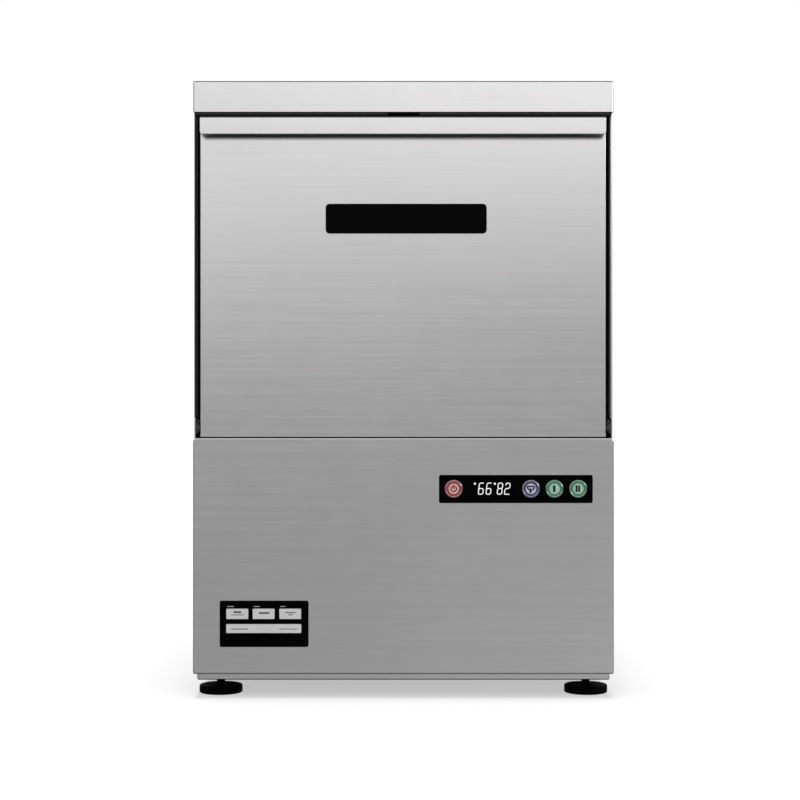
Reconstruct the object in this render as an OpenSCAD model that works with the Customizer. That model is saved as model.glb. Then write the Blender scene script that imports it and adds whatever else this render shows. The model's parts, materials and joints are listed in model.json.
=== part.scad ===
// Under-counter glass washer: folded sheet cabinet, drop-down door, wash chamber with
// upper and lower arms, rack, and the pumps, boiler and controls below the tank.
// Millimetres. +Z is up, the front faces -Y, and the origin is on the floor under the centre.

/* [Cabinet] */
// Overall width of the cabinet
body_w = 470; // [470:1:476]
// Height of the lid's top face above the floor
body_h = 690; // [688:1:700]
// How far the door's face stands in front of the centre
front_y = 254; // [254:0.5:255]
// How far the rear panel stands behind the centre
rear_y = 240; // [240:0.5:242]
// Thickness of the outer sheet
sheet_t = 1.5; // [1.2:0.1:1.6]
// Height of the folded lid
lid_h = 35; // [33:1:35]
// Height of the base tray's underside above the floor
tray_z = 19.5; // [19:0.5:20]
// Underside of the lower panel
panel_z0 = 27; // [27:0.5:27.5]
// Top of the lower panel
panel_z1 = 290.5; // [288:0.5:290.5]

/* [Door] */
// Width of the door
door_w = 454; // [450:1:454]
// Bottom edge of the door above the floor
door_z0 = 292; // [292:0.5:293]
// Top edge of the door above the floor
door_z1 = 647.2; // [646:0.1:650]
// Thickness of the double-skinned door
door_t = 38; // [38:0.5:38]
// Height of the hinge axis above the floor
hinge_z = 301.5; // [301:0.5:302]
// Distance of the hinge axis behind the door's face
hinge_in = 4.5; // [4:0.5:5]
// How far the folded lip stands out from the door
lip_out = 13.5; // [12:0.5:13.5]
// Height of the folded lip
lip_h = 19; // [17:1:22]

/* [Wash chamber] */
// Inside width of the wash chamber
tub_w = 420; // [416:1:420]
// Sheet thickness of chamber and tank
tub_t = 1.2; // [1:0.1:1.2]
// Underside of the chamber floor
tub_z0 = 262; // [262:1:262]
// Top of the chamber
tub_z1 = 650; // [650:1:650]
// Length of the wash arms, tip to tip
wash_arm_l = 390; // [340:5:394]
// Length of the rinse arms, tip to tip
rinse_arm_l = 372; // [340:4:388]
// Side of the square glass rack
rack_w = 398; // [390:1:398]
// Height of the glass rack
rack_h = 110; // [90:5:140]
// Cells along one side of the rack's base
rack_cells = 7; // [5:1:8]

/* [Controls] */
// Width of the control strip
ctrl_w = 171.5; // [171:0.5:174]
// Height of the control strip
ctrl_h = 31.3; // [31:0.1:33]
// Distance of the strip's middle right of the centre line
ctrl_x = 125.5; // [125:0.1:127]
// Height of the buttons above the floor
ctrl_z = 234; // [233:0.5:235]
// Outside diameter of a button's bezel
bezel_d = 21; // [20:0.5:21]
// Diameter of a button's cap
cap_d = 14.6; // [13:0.1:14.6]

/* [Feet] */
// Diameter of a levelling foot's pad
foot_d = 49; // [44:1:52]
// Thickness of the pad
foot_t = 9; // [7:0.5:10]
// Distance of each foot from the centre line
foot_x = 208; // [204:1:208]
// How far the front feet stand in front of the centre
foot_front = 209; // [205:1:212]
// How far the rear feet stand behind the centre
foot_rear = 200; // [195:1:203]

/* [Hidden] */

hw = body_w / 2;
fy = -front_y;
ry = rear_y;
st = sheet_t;
lid_z0 = body_h - lid_h;
dx = door_w / 2;
dy1 = fy + door_t;
hy = fy + hinge_in;
tw = tub_w / 2;
tank = 152;
ctrl_x0 = ctrl_x - ctrl_w / 2;
btn_x = [56.1, 142.2, 168.5, 194.8];
feet = [[-foot_x, -foot_front], [foot_x, -foot_front], [-foot_x, foot_rear], [foot_x, foot_rear]];
rear_screws = [for (s = [-1, 1], z = [60, 240, 440, 630]) [s * 225, z]];
px = -110;  // wash pump's axis
pz = 90;
bx = 100;   // boiler's axis
bz = 90;
spx = -184; // drain pump's axis
spy = 75;
up = 888;   // the upper arms mirror the lower ones about half this height
steel = "#c9c8c6";
inox = "#d5d5d4";

// ---- shared shapes ----
module box(x0, x1, y0, y1, z0, z1) translate([x0, y0, z0]) cube([x1 - x0, y1 - y0, z1 - z0]);
module cx(x0, x1, y, z, r) translate([x0, y, z]) rotate([0, 90, 0]) cylinder(h = x1 - x0, r = r, $fn = 48);
module cy(x, y0, y1, z, r) translate([x, y0, z]) rotate([-90, 0, 0]) cylinder(h = y1 - y0, r = r, $fn = 48);
module cz(x, y, z0, z1, r) translate([x, y, z0]) cylinder(h = z1 - z0, r = r, $fn = 48);
// rectangle with true round corners
module rrect(w, h, r) {
    square([w - 2 * r, h], center = true);
    square([w, h - 2 * r], center = true);
    for (i = [-1, 1], j = [-1, 1]) translate([i * (w / 2 - r), j * (h / 2 - r)]) circle(r = r, $fn = 48);
}
// round-cornered plate standing in the XZ plane
module plate(x0, x1, y0, y1, z0, z1, r)
    translate([(x0 + x1) / 2, y1, (z0 + z1) / 2]) rotate([90, 0, 0])
        linear_extrude(y1 - y0) rrect(x1 - x0, z1 - z0, r);
// round-cornered block lying in the XY plane
module slab(x0, x1, y0, y1, z0, z1, r)
    translate([(x0 + x1) / 2, (y0 + y1) / 2, z0]) linear_extrude(z1 - z0) rrect(x1 - x0, y1 - y0, r);
module both() { children(); mirror([1, 0, 0]) children(); }
// quarter bend of a tube about the Z axis of its own frame, from +X towards +Y
module bend(R, ro) rotate_extrude(angle = 90, $fn = 64) translate([R, 0]) circle(r = ro, $fn = 32);
// ---- cabinet ----
module base_tray() color(steel) difference() {
    box(-hw + 4, hw - 4, fy + 6, ry - 4, tray_z, panel_z0);
    box(-hw + 4 + st, hw - 4 - st, fy + 6 + st, ry - 4 - st, tray_z + st, panel_z0 + 1);
    for (p = feet) cz(p[0], p[1], tray_z - 1, tray_z + 3, 5.6);
    for (i = [-2:2]) slab(i * 60 - 20, i * 60 + 20, 176, 182, tray_z - 1, tray_z + 3, 2.9);
}
module foot_nuts() color("silver") for (p = feet) difference() {
    translate([p[0], p[1], tray_z + st]) cylinder(h = 12, r = 10, $fn = 6);
    cz(p[0], p[1], tray_z, tray_z + 20, 5.08);
}
module side_panel() color(steel) difference() {
    union() {
        box(hw - st, hw, fy + 14, ry, panel_z0, lid_z0);
        box(hw - st - 0.7, hw - st, fy + 14, fy + 24, 312, lid_z0 - 2);
        box(219.5, hw - st, fy + 16, ry - 1.5, panel_z0, panel_z0 + 1.5);
        box(215, hw - st, -205, ry - 1.5, lid_z0 - 1.5, lid_z0);
        box(215, hw - st, ry - 3, ry - 1.5, panel_z0 + 1.5, lid_z0 - 1.5);
    }
    for (p = rear_screws) cy(abs(p[0]), ry - 5, ry, p[1], 2.05);
}
module side_panel_left() mirror([1, 0, 0]) side_panel();
module side_panel_right() side_panel();
module rear_panel() color(steel) difference() {
    box(-hw + 2, hw - 2, ry - 1.5, ry, panel_z0 + 1.5, lid_z0 - 1);
    for (p = rear_screws) cy(p[0], ry - 5, ry + 1, p[1], 2.05);
    cy(140, ry - 5, ry + 1, 70, 14.6);
    cy(-180, ry - 5, ry + 1, 57, 13);
    cy(-60, ry - 5, ry + 1, 60, 10.2);
    for (i = [0:9]) plate(-115 + i * 23, -105 + i * 23, ry - 3, ry + 1, 120, 165, 4.9);
}
module top_panel() color(steel) {
    difference() {
        box(-hw, hw, fy + 3, ry, lid_z0, body_h);
        box(-hw + st, hw - st, fy + 3 + st, ry - st, lid_z0 - 1, body_h - st);
    }
    box(-hw + st, hw - st, fy + 3 + st, fy + 16, lid_z0, lid_z0 + st);
}
module lower_front_panel() color(steel) difference() {
    union() {
        plate(-hw, hw, fy, fy + st, panel_z0 + 33, panel_z1, 4);
        box(-hw, hw, fy, fy + st, panel_z0, panel_z0 + 60);
        for (s = [-1, 1]) translate([s * (hw - st / 2), 0, 0])
            box(-st / 2, st / 2, fy + st, fy + 13.7, panel_z0, panel_z1 - 4);
        box(-231, 231, fy + st, fy + 24, panel_z1 - st, panel_z1);
        box(-231, 231, fy + 24 - st, fy + 24, panel_z1 - 15, panel_z1 - st);
        box(-hw + st, hw - st, fy + st, fy + 15.9, panel_z0, panel_z0 + st);
    }
    box(44.6, 207, fy - 1, fy + 3, 222, 246);
}
module pan_screw() { cylinder(h = 2.4, r = 4, $fn = 32); translate([0, 0, -8]) cylinder(h = 8.1, r = 2, $fn = 32); }
module panel_screws() color("silver") {
    for (p = rear_screws) difference() {
        translate([p[0], ry, p[1]]) rotate([-90, 0, 0]) pan_screw();
        box(p[0] - 2.6, p[0] + 2.6, ry + 1.4, ry + 3, p[1] - 0.5, p[1] + 0.5);
        box(p[0] - 0.5, p[0] + 0.5, ry + 1.4, ry + 3, p[1] - 2.6, p[1] + 2.6);
    }
}
module front_frame() color(inox) difference() {
    box(-231.5, 231.5, fy + 40.5, fy + 41.7, 295, 653);
    plate(-205, 205, fy + 39, fy + 43, 318, 635, 25);
    for (s = [-1, 1]) translate([s * 231, 0, 0]) box(-2.5, 2.5, fy + 39, fy + 43, 290, 313);
}
module door_seal() color("#151515") {
    difference() {
        box(-231.3, 231.3, fy + 38.6, fy + 40.5, 313, 652.8);
        plate(-209, 209, fy + 38, fy + 41, 250, 639, 25);
    }
    for (s = [-1, 1]) translate([s * 231.95, 0, 0]) box(-0.75, 0.75, fy + 14.5, fy + 40.5, 313, lid_z0);
    difference() {
        box(-232, 232, fy + 5, fy + 40.5, 652.3, lid_z0);
        box(-17.7, 17.9, fy + 4, fy + 18, 652, lid_z0 + 1);
        for (s = [-1, 1]) translate([s * 232, 0, 0]) box(-0.8, 0.8, fy + 4, fy + 14.4, 652, lid_z0 + 1);
    }
}
module door_catch() color("#0a0a0a") difference() {
    box(-17.3, 17.5, fy + 5, fy + 17.6, 652, lid_z0);
    for (x = [-10, 10]) cz(x, fy + 11, 651, 652.6, 3);
}
// bracket arm with its welded shoulder pin
module hinge_bracket() {
    box(229.5, 232, hy, -150, 295.5, 307.5);
    box(229.5, 232, -240, -150, 295.5, 311);
    cx(229.5, 232, hy, hinge_z, 6);
    box(232, hw - st, -205, -160, 297, 309);
    cx(227.6, 229.6, hy, hinge_z, 4.5);
    cx(204, 228, hy, hinge_z, 2.5);
}
module hinge_brackets() color("#8b8b8b") both() hinge_bracket();

// ---- wash chamber ----
module tub_plan(w, y0, y1, r) {
    translate([0, (y0 + y1) / 2]) rrect(w, y1 - y0, r);
    translate([-w / 2, y0]) square([w, 60]);
}
module wash_chamber() color(inox) difference() {
    translate([0, 0, tub_z0]) linear_extrude(tub_z1 - tub_z0) tub_plan(tub_w + 2 * tub_t, fy + 41.7, 214, 13.2);
    translate([0, 0, tub_z0 + tub_t]) linear_extrude(tub_z1 - tub_z0 - 2 * tub_t) tub_plan(tub_w, fy + 40, 214 - tub_t, 12);
    box(-150, 150, -150, 150, tub_z0 - 1, tub_z0 + 3);
    cy(0, 205, 220, 630, 10.3);
    cy(100, 205, 220, 636, 5.3);
}
module wash_tank() color(inox) difference() {
    union() {
        slab(-tank, tank, -tank, tank, 185, 261, 12);
        slab(-165, 165, -165, 165, 260.8, tub_z0, 16);
    }
    slab(-tank + tub_t, tank - tub_t, -tank + tub_t, tank - tub_t, 185 + tub_t, 270, 10.8);
    cz(0, 0, 180, 190, 12.1);
    cz(px, 75, 180, 190, 20.2);
    for (x = [40, 80]) cy(x, -160, -145, 200, 4.2);
}
module filter_half() difference() {
    slab(1.5, 156, -156, 156, tub_z0 + tub_t, tub_z0 + tub_t + 1.5, 8);
    cz(0, 0, 255, 270, 24);
    for (i = [0:6], j = [0:12]) if (norm([20 + i * 20, -132 + j * 22]) > 34)
        cz(20 + i * 20, -132 + j * 22, 255, 270, 4);
}
module tank_filters() color("#bdbdbd") {
    filter_half();
    difference() {
        mirror([1, 0, 0]) filter_half();
        cz(px, 75, 255, 270, 33);
    }
}
module pump_strainer() color("#b5b5b5") difference() {
    union() {
        cz(px, 75, 190, 266, 32);
        cz(px, 75, 264.7, 266.2, 38);
    }
    cz(px, 75, 191.2, 270, 30.8);
    for (a = [0:30:150], z = [200:14:242]) translate([px, 75, z]) rotate([0, 0, a]) box(-40, 40, -3, 3, 0, 8);
    for (a = [0:60:300]) translate([px, 75, 0]) rotate([0, 0, a]) cz(18, 0, 185, 195, 4);
    cz(px, 75, 185, 195, 4);
}
// fixed column that carries a wash arm and a rinse arm; rinse water rises in an inner tube
module arm_ports() for (a = [0, 90, 180, 270]) rotate([0, 0, a]) cx(5, 30, 0, 285, 3.6);
module rinse_ports() translate([0, 0, 306]) rotate([0, 90, 60]) cylinder(h = 30, r = 1.8, center = true, $fn = 32);
module arm_column(z0, r) {
    cz(0, 0, z0, 274, r);
    cz(0, 0, 270, 300, 12);
    cz(0, 0, 299, 318, 6);
}
module lower_manifold() color("#3d3f42") difference() {
    union() {
        difference() {
            union() {
                arm_column(186.2, 20);
                cz(0, 0, 186.2, 190, 34);
                cz(0, 0, 150, 188, 12);
                cx(-40, 0, 0, 165, 11.8);
                cy(0, 0, 40, 165, 10);
                cx(0, 36, 0, 165, 8);
            }
            cz(0, 0, 158, 296, 7.8);
            cx(-41, 0, 0, 165, 9);
            cy(0, 0, 41, 165, 7.4);
            arm_ports();
        }
        cz(0, 0, 156, 298, 4.2);
        cx(0, 10, 0, 165, 5);
    }
    cz(0, 0, 162, 315, 3);
    cx(0, 37, 0, 165, 2.6);
    rinse_ports();
}
module upper_manifold() color("#3d3f42") difference() {
    union() {
        difference() {
            translate([0, 0, up]) mirror([0, 0, 1]) arm_column(up - 648.8, 24);
            cz(0, 0, up - 296, 643, 7.8);
            cy(0, 0, 30, 630, 7.4);
            translate([0, 0, up]) mirror([0, 0, 1]) arm_ports();
        }
        cz(0, 0, up - 298, 646, 4.2);
    }
    cy(0, 22, 30, 630, 10);
    cz(0, 0, up - 315, 640, 3);
    cx(0, 30, 0, 636, 2.6);
    cx(22, 30, 0, 636, 5);
    translate([0, 0, up]) mirror([0, 0, 1]) rinse_ports();
}
// wash tube and rinse tube brazed into one wall flange
module feed_tubes(ra, rb) {
    // wash tube: forward run, bend, riser, bend, run under the tank
    cy(0, 22, 213, 630, ra);
    translate([0, 213, 617]) rotate([90, 0, 90]) bend(13, ra);
    cz(0, 226, 178, 617, ra);
    translate([0, 213, 178]) rotate([-90, 0, 90]) bend(13, ra);
    cy(0, 40, 213, 165, ra);
    // rinse tube: across under the ceiling, back, bend, down, bend, forward to the boiler
    cx(22, 87, 0, 636, rb);
    translate([87, 13, 636]) rotate([0, 0, -90]) bend(13, rb);
    cy(100, 13, 213, 636, rb);
    translate([100, 213, 623]) rotate([90, 0, 90]) bend(13, rb);
    cz(100, 226, 143, 623, rb);
    translate([100, 213, 143]) rotate([-90, 0, 90]) bend(13, rb);
    cy(100, 150, 213, 130, rb);
}
module upper_feed_pipe() color("#c2c2c2") difference() {
    union() {
        feed_tubes(10, 5);
        plate(-18, 116, 211.2, 212.8, 612, 648, 8);
    }
    feed_tubes(8.8, 4);
    cy(0, 21, 23, 630, 8.8);
    cx(21, 23, 0, 636, 4);
    cy(100, 149, 151, 130, 4);
    cy(0, 39, 41, 165, 8.8);
}
module rack_rails() color(inox) both() {
    box(181, tw, -205, 200, 336.2, 337.7);
    box(tw - st, tw, -205, 200, 337.6, 350);
    box(181, 182.2, -205, 200, 330, 336.3);
}
module tank_element() color("#9a9a98") {
    for (x = [40, 80]) cy(x, -172, 100, 200, 4);
    translate([60, 100, 200]) rotate_extrude(angle = 180, $fn = 64) translate([20, 0]) circle(r = 4, $fn = 32);
    plate(28, 92, -155, -152, 188, 212, 8);
}

// ---- water system ----
module wash_pump_motor() color("#4a4d52") difference() {
    union() {
        cy(px, -140, -22, pz, 42);
        for (y = [-132:10:-42]) cy(px, y, y + 4, pz, 46);
        box(px - 36, px + 36, -130, -45, tray_z + st, 60);
        box(px - 20, px + 20, -112, -62, 125, 150);
    }
    cy(px, -136, -21, pz, 6.06);
}
module wash_pump_casing() color("#2b2c2e") difference() {
    union() {
        cy(px, -20, 20, pz, 52);
        cy(px, -22, -20, pz, 30);
        cz(px + 38, 0, 100, 149, 12);
        cy(px, 20, 40, pz, 17);
        box(px - 40, px + 40, -18, -8, tray_z + st, 50);
    }
    cy(px, -16, 16, pz, 48);
    cy(px, -23, -15, pz, 6.06);
    cy(px, 15, 41, pz, 14);
    cz(px + 38, 0, 105, 150, 9);
}
module wash_pump_rotor() color("#d8d8d8") {
    cy(px, -134, -11, pz, 6);
    cy(px, -13, -10, pz, 44);
    cy(px, -10.5, 12, pz, 9);
    for (a = [0:60:300]) translate([px, 0, pz]) rotate([0, a, 0]) box(7, 43, -10.5, 10, -1.5, 1.5);
}
module suction_hose() color("#1c1c1c") difference() {
    union() {
        cz(px, 75, 45, 187, 20);
        cy(px, 23, 75, pz, 20);
        cx(px - 42, px, 75, 57, 12);
        cz(px, 75, 181, 184.9, 26);
    }
    cz(px, 75, 48, 192, 17);
    cy(px, 22, 75, pz, 17.05);
    cx(px - 43, px, 75, 57, 9.05);
}
module delivery_tube(r, e) {
    cz(px + 38, 0, 141.5 - e, 149, r);
    translate([px + 54, 0, 149]) rotate([90, 0, 180]) bend(16, r);
    cx(px + 54, -14 + e, 0, 165, r);
}
module delivery_hose() color("#1c1c1c") difference() {
    delivery_tube(15, 0);
    delivery_tube(12.1, 1);
}
module drain_pump() color("#3a5a44") difference() {
    union() {
        cz(spx, spy, tray_z + st, 74, 30);
        cz(spx, spy, 74, 125, 26);
        cx(spx + 25, spx + 48, spy, 57, 9);
        cy(-180, spy, ry - 4, 57, 8);
    }
    cz(spx, spy, 44, 70, 26);
    cz(spx, spy, 69, 95, 3.06);
    cx(spx + 24, spx + 49, spy, 57, 6.5);
    cy(-180, spy + 12, ry, 57, 6);
}
module drain_pump_rotor() color("#e6e6e6") {
    cz(spx, spy, 45, 47, 24);
    cz(spx, spy, 46, 92, 3);
    cz(spx, spy, 46.5, 66, 6);
    for (a = [0:90:270]) translate([spx, spy, 0]) rotate([0, 0, a]) box(4, 22, -1, 1, 46.5, 64);
}
module drain_spigot() color("#27282a") difference() {
    union() {
        cy(-180, ry - 4, ry - 1.5, 57, 19);
        cy(-180, ry - 4, 267.5, 57, 12.5);
        cy(-180, ry, ry + 3, 57, 17);
    }
    cy(-180, ry - 5, 268, 57, 9);
}
module boiler() color("#b9b6b0") {
    difference() {
        union() {
            cy(bx, -120, 150, bz, 58);
            cy(140, 150, 172, 70, 6);
            for (y = [-80, 90]) box(bx - 46, bx + 46, y, y + 6, tray_z + st, 60);
            cz(bx, 0, 145, 152, 8);
            translate([bx - 13, 0, 152]) rotate([90, 0, 0]) bend(13, 8);
            cx(36, bx - 13, 0, 165, 8);
        }
        cy(bx, -118.5, 148.5, bz, 56.5);
        cy(140, 148, 173, 70, 4);
        cy(bx, 148, 151, 130, 4);
        for (x = [-14, 14]) cy(bx + x, -121, -118, bz, 4.2);
        cz(bx, 0, 144, 152, 4.2);
        translate([bx - 13, 0, 152]) rotate([90, 0, 0]) bend(13, 4.2);
        cx(35, bx - 13, 0, 165, 4.2);
    }
}
module boiler_element() color("#a8a29a") {
    cy(bx, -126, -120, bz, 30);
    for (x = [-14, 14]) cy(bx + x, -140, 100, bz, 4);
    translate([bx, 100, bz]) rotate_extrude(angle = 180, $fn = 64) translate([14, 0]) circle(r = 4, $fn = 32);
}
module inlet_valve() color("#2c5b8a") difference() {
    union() {
        box(125, 155, 196, 226, 55, 88);
        cy(140, 172, 200, 70, 6);
        cy(140, 220, ry - 1.5, 70, 16);
        cy(140, 230, 267.5, 70, 13.2);
        cz(140, 211, 88, 94, 8);
        box(124, 156, 195, 227, 94, 130);
    }
    cy(140, 205, 268, 70, 9);
    cy(140, 171, 206, 70, 4);
}
module terminal_block() color("#d9d4c3") difference() {
    box(-175, -110, -236, -202, tray_z + st, 62);
    for (i = [0:4]) cz(-166 + i * 12, -212, 50, 63, 3.2);
    for (i = [0:4]) cz(-166 + i * 12, -227, 50, 63, 3.2);
}
module cable_gland() color("#303030") difference() {
    union() {
        cy(-60, 226, 262, 60, 10);
        translate([-60, ry, 60]) rotate([-90, 0, 0]) cylinder(h = 6, r = 15, $fn = 6);
        cy(-60, ry + 6, 260, 60, 13);
        translate([-60, ry - 6, 60]) rotate([-90, 0, 0]) cylinder(h = 4.5, r = 15, $fn = 6);
    }
    cy(-60, 225, 263, 60, 5.5);
}

// ---- controls ----
module control_overlay() color("#101010") difference() {
    plate(ctrl_x0, ctrl_x0 + ctrl_w, fy - 1.2, fy, ctrl_z - 16, ctrl_z - 16 + ctrl_h, 2);
    for (x = btn_x) cy(x, fy - 3, fy + 1, ctrl_z, bezel_d / 2 + 0.1);
    plate(76, 123, fy - 3, fy + 1, ctrl_z - 10, ctrl_z + 10, 1);
}
module control_housing() color("#26282b") difference() {
    box(40, 213, fy + 1.5, fy + 28, 213, 254);
    box(42, 211, fy + 3.5, fy + 29, 215, 252);
    for (x = btn_x) cy(x, fy, fy + 5, ctrl_z, 3.06);
    box(75.3, 123.7, fy, fy + 5, ctrl_z - 10.5, ctrl_z + 10.5);
}
module display_window() color("#1b1c22") plate(76.3, 122.7, fy - 1.2, fy + 0.8, ctrl_z - 9.7, ctrl_z + 9.7, 0.8);
module button_bezels() color("#5a3a3a") for (x = btn_x) difference() {
    cy(x, fy - 3, fy + 1.5, ctrl_z, bezel_d / 2);
    cy(x, fy - 4, fy + 3, ctrl_z, cap_d / 2 + 0.4);
}
module control_pcb() color("#2f6b3c") {
    box(44, 209, fy + 18, fy + 19.6, 217, 250);
    box(79, 121.4, fy + 2, fy + 18, ctrl_z - 8, ctrl_z + 8);
    for (x = btn_x) box(x - 3.5, x + 3.5, fy + 11.4, fy + 18, ctrl_z - 3.5, ctrl_z + 3.5);
    box(150, 190, fy + 19.6, fy + 27, 220, 245);
}
module button(x) {
    cy(x, fy - 3.8, fy - 1.2, ctrl_z, cap_d / 2);
    cy(x, fy - 1.3, fy + 9, ctrl_z, 3);
    cy(x, fy + 3.8, fy + 5.8, ctrl_z, 4.5);
}
module button_power() color("#c8474c") button(btn_x[0]);
module button_drain() color("#6a6cb4") button(btn_x[1]);
module button_cycle_1() color("#4fa07a") button(btn_x[2]);
module button_cycle_2() color("#4fa07a") button(btn_x[3]);
module label_plate() color("#141414") plate(-205.1, -105.9, fy - 0.8, fy, 57.3, 109, 2);

// ---- door ----
module door_outer_skin() color(steel) difference() {
    box(-dx, dx, fy, dy1 - 2, door_z0, door_z1 - st);
    box(-dx + st, dx - st, fy + st, dy1 + 1, door_z0 + st, door_z1 - 2 * st);
    for (s = [-1, 1]) translate([s * dx, 0, 0]) cx(-5, 5, hy, hinge_z, 2.9);
}
module door_inner_liner() color(inox) difference() {
    union() {
        difference() {
            box(-dx + st + 0.1, dx - st - 0.1, fy + 14, dy1, door_z0 + st + 0.1, door_z1 - 2 * st - 0.1);
            box(-dx + st + 1.3, dx - st - 1.3, fy + 13, dy1 - 1.2, door_z0 + st + 1.3, door_z1 - 2 * st - 1.3);
        }
        plate(-201, 201, dy1 - 9, dy1 - 0.5, 321, 632, 24);
    }
    plate(-199.8, 199.8, dy1 - 7.8, dy1 + 1, 322.2, 630.8, 22.8);
    for (s = [-1, 1]) translate([s * dx, 0, 0]) cx(-5, 5, hy, hinge_z, 2.9);
}
module door_handle() color(steel) difference() {
    union() {
        box(-226, 226, fy - lip_out, dy1 - 3, door_z1 - st, door_z1);
        box(-226, 226, fy - lip_out, fy - lip_out + st, door_z1 - lip_h, door_z1 - st);
        box(-226, 226, fy - lip_out + st, fy - lip_out + 5, door_z1 - lip_h, door_z1 - lip_h + st);
    }
    for (s = [-1, 1]) translate([s * 226, 0, door_z1 - lip_h]) rotate([0, 45, 0]) box(-3.2, 3.2, fy - 20, fy - 1, -3.2, 3.2);
}
module door_badge() color("#111111") plate(-86.8, 93, fy - 1.5, fy, 518.8, 552, 4.5);
module door_hinge_block() difference() {
    box(206, dx - st - 1.4, fy + st, fy + 26, door_z0 + st + 1.4, 313);
    cx(200, 230, hy, hinge_z, 2.56);
}
module door_hinge_blocks() color("#777777") both() door_hinge_block();
// ---- moving parts in the chamber ----
module wash_arm() difference() {
    union() {
        translate([0, 0, 279]) linear_extrude(13) rrect(wash_arm_l, 30, 14.9);
        cz(0, 0, 275, 297, 21);
    }
    translate([0, 0, 280.5]) linear_extrude(10) rrect(wash_arm_l - 3, 27, 13.4);
    cz(0, 0, 274, 298, 12.06);
    for (s = [-1, 1], i = [0:4]) cz(s * (42 + i * 33), s * 6, 290, 293, 2.4);
}
module rinse_arm() rotate([0, 0, 62]) difference() {
    union() {
        cx(-rinse_arm_l / 2, rinse_arm_l / 2, 0, 306, 5);
        cz(0, 0, 300.6, 311.4, 11);
    }
    cx(-rinse_arm_l / 2 + 1, rinse_arm_l / 2 - 1, 0, 306, 4);
    cz(0, 0, 300, 312, 6.06);
    for (s = [-1, 1], i = [0:4]) cz(s * (34 + i * 35), 0, 308, 312, 1.2);
}
module lower_wash_arm() color("#c4c4c2") wash_arm();
module lower_rinse_arm() color("#c4c4c2") rinse_arm();
module upper_wash_arm() color("#c4c4c2") translate([0, 0, up]) mirror([0, 0, 1]) rotate([0, 0, 25]) wash_arm();
module upper_rinse_arm() color("#c4c4c2") translate([0, 0, up]) mirror([0, 0, 1]) rotate([0, 0, 25]) rinse_arm();
module arm_nut() difference() {
    cz(0, 0, 312, 321, 12);
    cz(0, 0, 311, 318, 6);
}
module arm_nuts() color("#2a2c30") {
    arm_nut();
    translate([0, 0, up]) mirror([0, 0, 1]) arm_nut();
}
module rack_base() color("#3f6f9f") {
    p = (rack_w - 12) / rack_cells;
    difference() {
        slab(-rack_w / 2, rack_w / 2, -rack_w / 2, rack_w / 2, 338, 344, 12);
        for (i = [0:rack_cells - 1], j = [0:rack_cells - 1])
            translate([-rack_w / 2 + 6 + (i + 0.5) * p, -rack_w / 2 + 6 + (j + 0.5) * p, 336])
                cube([p - 5, p - 5, 24], center = true);
    }
}
// four side walls, parted by a hairline at the corners
module rack_walls() color("#3f6f9f") difference() {
    slab(-rack_w / 2, rack_w / 2, -rack_w / 2, rack_w / 2, 344.1, 338 + rack_h, 12);
    slab(-rack_w / 2 + 3.5, rack_w / 2 - 3.5, -rack_w / 2 + 3.5, rack_w / 2 - 3.5, 343, 339 + rack_h, 8.5);
    for (i = [-2:2]) {
        box(i * 72 - 32, i * 72 + 32, -rack_w, rack_w, 354, 388);
        box(-rack_w, rack_w, i * 72 - 32, i * 72 + 32, 354, 388);
    }
    box(-rack_w, rack_w, -54, 54, 398, 426);
    for (a = [45, 135]) rotate([0, 0, a]) box(-300, 300, -0.05, 0.05, 340, 340 + rack_h);
}

// ---- feet ----
module foot(i) color("#141414") translate([feet[i][0], feet[i][1], 0]) {
    cz(0, 0, 0, foot_t, foot_d / 2);
    cz(0, 0, 3, 58, 5);
}
module foot_front_left() foot(0);
module foot_front_right() foot(1);
module foot_rear_left() foot(2);
module foot_rear_right() foot(3);

base_tray();
side_panel_left();
side_panel_right();
rear_panel();
top_panel();
lower_front_panel();
panel_screws();
front_frame();
door_seal();
door_catch();
hinge_brackets();
wash_chamber();
wash_tank();
tank_filters();
pump_strainer();
lower_manifold();
upper_manifold();
upper_feed_pipe();
rack_rails();
tank_element();
control_overlay();
control_housing();
display_window();
button_bezels();
control_pcb();
label_plate();
foot_nuts();
wash_pump_motor();
wash_pump_casing();
suction_hose();
delivery_hose();
drain_pump();
drain_spigot();
boiler();
boiler_element();
inlet_valve();
terminal_block();
cable_gland();
arm_nuts();
door_outer_skin();
door_inner_liner();
door_handle();
door_badge();
door_hinge_blocks();
lower_wash_arm();
lower_rinse_arm();
upper_wash_arm();
upper_rinse_arm();
button_power();
button_drain();
button_cycle_1();
button_cycle_2();
foot_front_left();
foot_front_right();
foot_rear_left();
foot_rear_right();
rack_base();
rack_walls();
wash_pump_rotor();
drain_pump_rotor();
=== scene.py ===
import json
import math

import bmesh
import bpy
from mathutils import Matrix, Vector

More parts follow.
